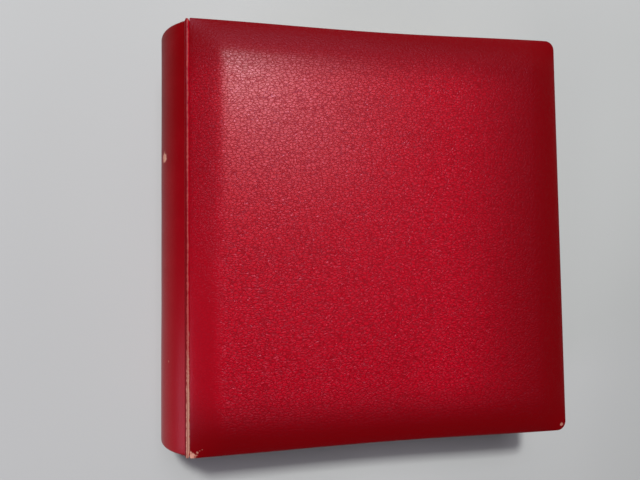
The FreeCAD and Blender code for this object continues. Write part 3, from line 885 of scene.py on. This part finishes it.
def fold_points(stops, seam, outward):
    """Points of a lumpy roll along a seam, ring after ring, with rounded ends."""
    end_length = 0.4 * FOLD_RADIUS
    points = []
    for y in stops:
        past = max(abs(y) - stops[-1] + end_length, 0) / end_length
        rounding = max((1 - min(past, 1) ** 3) ** (1 / 3), 0.6)
        for turn in np.linspace(0, 2 * math.pi, BEAD_STEPS, endpoint=False):
            lump = noise.noise(Vector((y / (6 * MM), 1.5 * math.cos(turn), 1.5 * math.sin(turn))))
            flattened = FOLD_LUMP * (1 + lump) * max(math.sin(turn), 0)
            radius = rounding * (FOLD_RADIUS - flattened)
            points.append((
                seam.x + radius * math.cos(turn), y, seam.z + outward * radius * math.sin(turn)))
    return points


class ALBUM_OT_work_folds(bpy.types.Operator):
    """Lay the worn folds along the two seams"""

    bl_idname = "album.work_folds"
    bl_label = "Work folds"

    def execute(self, context):
        reach = context.scene.album_sizes.fold_overhang
        steps = round((BEAD_HIGH.y - BEAD_LOW.y) / ALONG_STEP)
        stops = np.linspace(BEAD_LOW.y - reach, BEAD_HIGH.y + reach, steps + 1)
        rings = [
            list(range(start, start + BEAD_STEPS))
            for start in range(0, len(stops) * BEAD_STEPS, BEAD_STEPS)]
        faces = [rings[0], rings[-1]]
        for first, second in zip(rings, rings[1:]):
            faces += band_faces(first, second)
        for side, seam, outward in (("front", UPPER_SEAM, 1), ("back", LOWER_SEAM, -1)):
            finish = fold_finish(f"{side}_fold", context.scene, seam, outward)
            fold = make_piece(f"{side}_worn_fold", fold_points(stops, seam, outward), faces, finish)
            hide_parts(f"{side}_joint")
            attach(fold, "spine")
        return {"FINISHED"}


def linen_finish(name, colours):
    """Plain-woven linen."""
    material, shader, place = new_finish(name)
    x, y = split(place, "XY")
    thread = 0.45 * MM
    weave = abs(to_and_fro(x, thread) - 0.5) + abs(to_and_fro(y, thread) - 0.5)
    slubs = mottle(stretched(place, (1.0, 0.2, 1.0)), 3 * MM)
    colour = mix(0.5 * weave, colours.linen, shaded(colours.linen, 0.6))
    colour = mix(0.4 * rise(slubs, 0.45, 0.8), colour, shaded(colours.linen, 0.75))
    surface(
        shader, place, weave + 0.3 * slubs, 0.15 * MM,
        Base_Color=colour, Roughness=0.85 - 0.1 * slubs)
    return material


def hinge_path(flange, lining, sizes):
    """(x, z) along the front hinge cloth, from the channel's flange, round a bend, onto the lining."""
    middle = (flange + lining) / 2
    bend = (lining - flange) / 2
    on_channel = [(WASHER_LOW.x - WASHER_PLAY, flange), (HINGE_LEAVES_X, flange)]
    bent = [
        (HINGE_BEND_X - bend * math.sin(turn), middle - bend * math.cos(turn))
        for turn in np.linspace(0.15 * math.pi, 0.85 * math.pi, HINGE_BEND_STEPS)]
    glued = np.linspace(HINGE_GLUED_FROM, sizes.hinge_reach, HINGE_GLUED_STEPS)
    return on_channel + bent + [(FRONT_LOW.x + x, lining) for x in glued]


def on_side(z, outward):
    """A height on the front's side of the album's middle, or its twin on the back's side."""
    return MIDDLE_Z + outward * (z - MIDDLE_Z)


class ALBUM_OT_hang_hinges(bpy.types.Operator):
    """Fold a strip of hinge cloth between each cover's lining and the binding channel"""

    bl_idname = "album.hang_hinges"
    bl_label = "Hang hinges"

    def execute(self, context):
        sizes, colours = context.scene.album_sizes, context.scene.album_colours
        finish = linen_finish("hinge_linen", colours)
        stops = np.linspace(CHANNEL_LOW.y + HINGE_INSET, CHANNEL_HIGH.y - HINGE_INSET, HINGE_STEPS)
        clear = 0.5 * sizes.hinge_thickness + HINGE_PLAY
        flange = CHANNEL_HIGH.z + clear
        lining = FRONT_LOW.z - clear
        path = hinge_path(flange, lining, sizes)
        faces = grid_faces(len(stops), len(path))
        for side, body, outward in (("front", "front_cover", 1), ("back", "back_cover", -1)):
            points = [(x, y, on_side(z, outward)) for y in stops for x, z in path]
            hinge = make_piece(f"{side}_hinge_cloth", points, faces, finish, sharp=180)
            thick = hinge.modifiers.new("thickness", "SOLIDIFY")
            thick.thickness = sizes.hinge_thickness
            thick.offset = 0
            first = on_side(flange + BLEND_MARGIN, outward)
            last = on_side(lining - BLEND_MARGIN, outward)
            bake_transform(hinge)
        return {"FINISHED"}


def leaf_finish(name, colours):
    """Album leaf: cream paper, ruled in faint squares inside a frame."""
    material, shader, place = new_finish(name)
    x, y = split(place, "XY")
    low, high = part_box(LEAVES[0])
    inside = (
        rise(x - (low.x + GUARD_MARGIN), -LINE_SOFTNESS, LINE_SOFTNESS)
        * rise((high.x - LEAF_MARGIN) - x, -LINE_SOFTNESS, LINE_SOFTNESS)
        * rise((high.y - LEAF_MARGIN) - abs(y), -LINE_SOFTNESS, LINE_SOFTNESS))
    across = rise(to_and_fro(x - (low.x + GUARD_MARGIN), 0.5 * SQUARE), 0.06, 0.03)
    along = rise(to_and_fro(y, 0.5 * SQUARE), 0.06, 0.03)
    ruled = across.most(along) * inside
    fibres = mottle(stretched(place, (1.0, 0.6, 1.0)), 1.2 * MM, detail=4.0)
    clouds = mottle(place, 45 * MM)
    from_edge = (high.x - x).least(high.y - abs(y))
    aged = rise(from_edge + 6 * MM * (clouds - 0.5), 14 * MM, 0.0)
    colour = mix(0.35 * fibres, colours.paper, shaded(colours.paper, 0.86))
    colour = mix(0.45 * aged, colour, colours.card)
    colour = mix(0.85 * ruled, colour, colours.ruling)
    surface(shader, place, fibres, 0.06 * MM, Base_Color=colour, Roughness=0.8 - 0.1 * fibres)
    return material


def leaf_points(low, high, number, sizes):
    """Points of a wavy leaf, its upper face and then its lower face, and its faces."""
    stagger = 0.5 + 0.5 * noise.noise(Vector((number * 1.7, 0.3, 0.9)))
    high = high - Vector((sizes.leaf_stagger * stagger, 0, 0))
    x, y = np.meshgrid(
        np.linspace(low.x, high.x, LEAF_STEPS_ACROSS), np.linspace(low.y, high.y, LEAF_STEPS_ALONG))
    free = ((x - low.x) / (high.x - low.x)) ** 0.8
    common = waves(x, y, length_x=110 * MM, length_y=90 * MM, seed=0.02 * number)
    own = waves(x, y, length_x=70 * MM, length_y=60 * MM, seed=9.1 * number)
    middle = (low.z + high.z) / 2 + sizes.leaf_wave * free * (0.9 * common + 0.5 * own)
    rim = rim_of(*x.shape)
    count = x.size
    faces = grid_faces(*x.shape) + grid_faces(*x.shape, count)
    faces += band_faces(rim, [count + point for point in rim])
    x, y = round_corners(x, y, low, high, sizes.guard_corner, sizes.leaf_corner)
    upper = list(zip(x.flat, y.flat, (middle + sizes.leaf_thickness / 2).flat))
    lower = list(zip(x.flat, y.flat, (middle - sizes.leaf_thickness / 2).flat))
    return upper + lower, faces


class ALBUM_OT_lay_leaves(bpy.types.Operator):
    """Lay the leaves as slightly wavy sheets of album paper"""

    bl_idname = "album.lay_leaves"
    bl_label = "Lay leaves"

    def execute(self, context):
        sizes, colours = context.scene.album_sizes, context.scene.album_colours
        finish = leaf_finish("leaf_paper", colours)
        for number, name in enumerate(LEAVES):
            points, faces = leaf_points(*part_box(name), number, sizes)
            leaf = make_piece(f"{name}_paper", points, faces, finish)
            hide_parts(name)
            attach(leaf, name)
        return {"FINISHED"}


def dress_node(name, material):
    """Give a built piece its finish."""
    slots = frame["nodes"][name].material_slots
    if not slots:
        raise RuntimeError(f"{name} has no material slot")
    for slot in slots:
        slot.material = material


def board_finish(name, colours):
    """Greyboard: pressed fibres with darker and paler flecks."""
    material, shader, place = new_finish(name)
    fibres = mottle(swayed(place, size=3 * MM, reach=1 * MM), 0.9 * MM, detail=4.0)
    flecks = mottle(place, 2.5 * MM)
    colour = mix(rise(fibres, 0.35, 0.65), shaded(colours.greyboard, 0.7), colours.greyboard)
    colour = mix(0.6 * rise(flecks, 0.6, 0.7), colour, shaded(colours.greyboard, 1.35))
    surface(shader, place, fibres, 0.15 * MM, Base_Color=colour, Roughness=0.9 - 0.1 * flecks)
    return material


def lining_finish(name, colours):
    """Lining paper, browned towards its edges."""
    material, shader, place = new_finish(name)
    x, y = split(place, "XY")
    fibres = mottle(stretched(place, (0.5, 1.0, 1.0)), 1.0 * MM, detail=4.0)
    clouds = mottle(place, 50 * MM)
    from_side = (x - LINING_LOW.x).least(LINING_HIGH.x - x)
    from_end = (y - LINING_LOW.y).least(LINING_HIGH.y - y)
    browned = rise(from_side.least(from_end) + 16 * MM * (clouds - 0.5), 18 * MM, 0.0)
    colour = mix(0.35 * fibres, colours.lining, shaded(colours.lining, 0.85))
    colour = mix(0.45 * browned, colour, colours.card)
    surface(shader, place, fibres, 0.08 * MM, Base_Color=colour, Roughness=0.78 - 0.1 * fibres)
    return material


class ALBUM_OT_finish_boards(bpy.types.Operator):
    """Finish the boards, the spine's shell and the linings"""

    bl_idname = "album.finish_boards"
    bl_label = "Finish boards"

    def execute(self, context):
        colours = context.scene.album_colours
        board = board_finish("greyboard", colours)
        for name in ("spine_shell", "spine_board"):
            dress_node(name, board)
        lining = lining_finish("lining_paper", colours)
        for name in ("front_lining", "back_lining"):
            dress_node(name, lining)
        return {"FINISHED"}


def metal_finish(name, colour, dullness, lay, tarnish):
    """Metal brushed along one direction, with patches that the tarnish darkens."""
    material, shader, place = new_finish(name)
    brushed = mottle(stretched(place, lay), 0.5 * MM, detail=2.0)
    dull = rise(mottle(place, 9 * MM), 0.45, 0.75)
    tone = mix(0.45 * dull, colour, shaded(colour, tarnish))
    surface(
        shader, place, brushed, 0.02 * MM, Metallic=1.0,
        Base_Color=tone, Roughness=dullness + 0.12 * brushed + 0.1 * dull)
    return material


def guard_finish(name, colours):
    """Guard strips of card, with linen from their edges to the leaves."""
    material, shader, place = new_finish(name)
    [x] = split(place, "X")
    linen_from = STRIP_HIGH.x - 1.8 * MM
    linen = rise(x, linen_from, linen_from + 0.3 * MM)
    fibres = mottle(place, 0.8 * MM, detail=4.0)
    colour = mix(0.4 * fibres, colours.card, shaded(colours.card, 0.8))
    colour = mix(linen, colour, colours.linen)
    surface(shader, place, fibres, 0.1 * MM, Base_Color=colour, Roughness=0.82 - 0.1 * fibres)
    return material


class ALBUM_OT_finish_binding(bpy.types.Operator):
    """Finish the channel, rivets, washers, bushes, screws and guard strips"""

    bl_idname = "album.finish_binding"
    bl_label = "Finish binding"

    def execute(self, context):
        colours, looks = context.scene.album_colours, context.scene.album_finish
        steel = metal_finish(
            "channel_steel", colours.steel, looks.channel_dullness, lay=(1.0, 0.04, 1.0), tarnish=0.7)
        bright = metal_finish(
            "bright_steel", colours.steel, looks.washer_dullness, lay=(1.0, 1.0, 1.0), tarnish=0.7)
        brass = metal_finish(
            "screw_brass", colours.brass, looks.brass_dullness, lay=(1.0, 1.0, 0.1), tarnish=0.55)
        dress_node("binding_channel", steel)
        dress_node("channel_rivets", bright)
        dress_node("screw_washers", bright)
        dress_node("screw_bushes", brass)
        for name in frame["nodes"]:
            if name.startswith("binding_screw_"):
                dress_node(name, brass)
        dress_node("guard_strips", guard_finish("guard_card", colours))
        return {"FINISHED"}


class ALBUM_OT_set_stage(bpy.types.Operator):
    """Set the pale floor, the lamps and the camera"""

    bl_idname = "album.set_stage"
    bl_label = "Set stage"

    def execute(self, context):
        scene, stage = context.scene, context.scene.album_stage
        self.lay_floor(stage)
        for name, power in (("window", stage.window), ("ceiling", stage.ceiling), ("side", stage.side)):
            self.hang_lamp(name, power, *LAMPS[name])
        world = bpy.data.worlds.new("room")
        world.use_nodes = True
        room = world.node_tree.nodes["Background"]
        room.inputs["Color"].default_value = (*stage.sky_colour, 1.0)
        room.inputs["Strength"].default_value = stage.sky
        scene.world = world
        view = bpy.data.cameras.new("camera")
        view.lens = stage.lens
        view.clip_start = 0.01
        camera = bpy.data.objects.new("camera", view)
        camera.location = stage.eye
        camera.rotation_euler = stage.turn
        scene.collection.objects.link(camera)
        scene.camera = camera
        scene.view_settings.view_transform = "Standard"
        return {"FINISHED"}

    def lay_floor(self, stage):
        """A wide floor just under the album, with soft folds and painted shade that follows them."""
        material, shader, place = new_finish("floor")
        drawn = swayed(stretched(place, (1.0, 0.45, 1.0)), size=0.4, reach=0.12)
        folds = mottle(drawn, 0.26, detail=1.0)
        threads = mottle(place, 1.5 * MM)
        # Painted shade: the colour darkens by a tenth where the folds rise.
        colour = mix(folds, stage.floor, shaded(stage.floor, 0.9))
        surface(
            shader, place, folds + 0.002 * threads, 24 * MM,
            Base_Color=colour, Roughness=0.9 - 0.05 * threads)
        drop = BUILT_LOW.z - FLOOR_DROP
        corners = [
            (FLOOR_REACH * x, FLOOR_REACH * y, drop)
            for x, y in ((-1, -1), (1, -1), (1, 1), (-1, 1))]
        make_piece("floor", corners, [(0, 1, 2, 3)], material)

    def hang_lamp(self, name, power, place, size, colour):
        """A square lamp that faces the album."""
        light = bpy.data.lights.new(name, "AREA")
        light.energy = power
        light.size = size
        light.color = colour
        lamp = bpy.data.objects.new(name, light)
        lamp.location = place
        lamp.rotation_euler = (-Vector(place)).to_track_quat("-Z", "Y").to_euler()
        bpy.context.scene.collection.objects.link(lamp)


class VIEW3D_PT_album(bpy.types.Panel):
    """Dress the album piece by piece"""

    bl_idname = "VIEW3D_PT_album"
    bl_label = "Padded stamp album"
    bl_space_type = "VIEW_3D"
    bl_region_type = "UI"
    bl_category = "Album"

    def draw(self, context):
        for operator in OPERATORS:
            self.layout.operator(operator.bl_idname)
        scene = context.scene
        for group in (scene.album_sizes, scene.album_colours, scene.album_finish, scene.album_stage):
            box = self.layout.box()
            for name in group.__annotations__:
                box.prop(group, name)


OPERATORS = (
    ALBUM_OT_dress_covers,
    ALBUM_OT_dress_spine,
    ALBUM_OT_work_folds,
    ALBUM_OT_hang_hinges,
    ALBUM_OT_lay_leaves,
    ALBUM_OT_finish_boards,
    ALBUM_OT_finish_binding,
    ALBUM_OT_set_stage,
)
CLASSES = (AlbumSizes, AlbumColours, AlbumFinish, AlbumStage, *OPERATORS, VIEW3D_PT_album)


def register():
    for kind in CLASSES:
        bpy.utils.register_class(kind)
    bpy.types.Scene.album_sizes = bpy.props.PointerProperty(type=AlbumSizes)
    bpy.types.Scene.album_colours = bpy.props.PointerProperty(type=AlbumColours)
    bpy.types.Scene.album_finish = bpy.props.PointerProperty(type=AlbumFinish)
    bpy.types.Scene.album_stage = bpy.props.PointerProperty(type=AlbumStage)


def unregister():
    del bpy.types.Scene.album_stage
    del bpy.types.Scene.album_finish
    del bpy.types.Scene.album_colours
    del bpy.types.Scene.album_sizes
    for kind in reversed(CLASSES):
        bpy.utils.unregister_class(kind)


def main():
    register()
    bpy.ops.album.dress_covers()
    bpy.ops.album.dress_spine()
    bpy.ops.album.work_folds()
    bpy.ops.album.hang_hinges()
    bpy.ops.album.lay_leaves()
    bpy.ops.album.finish_boards()
    bpy.ops.album.finish_binding()
    bpy.ops.album.set_stage()


if __name__ == "__main__":
    main()
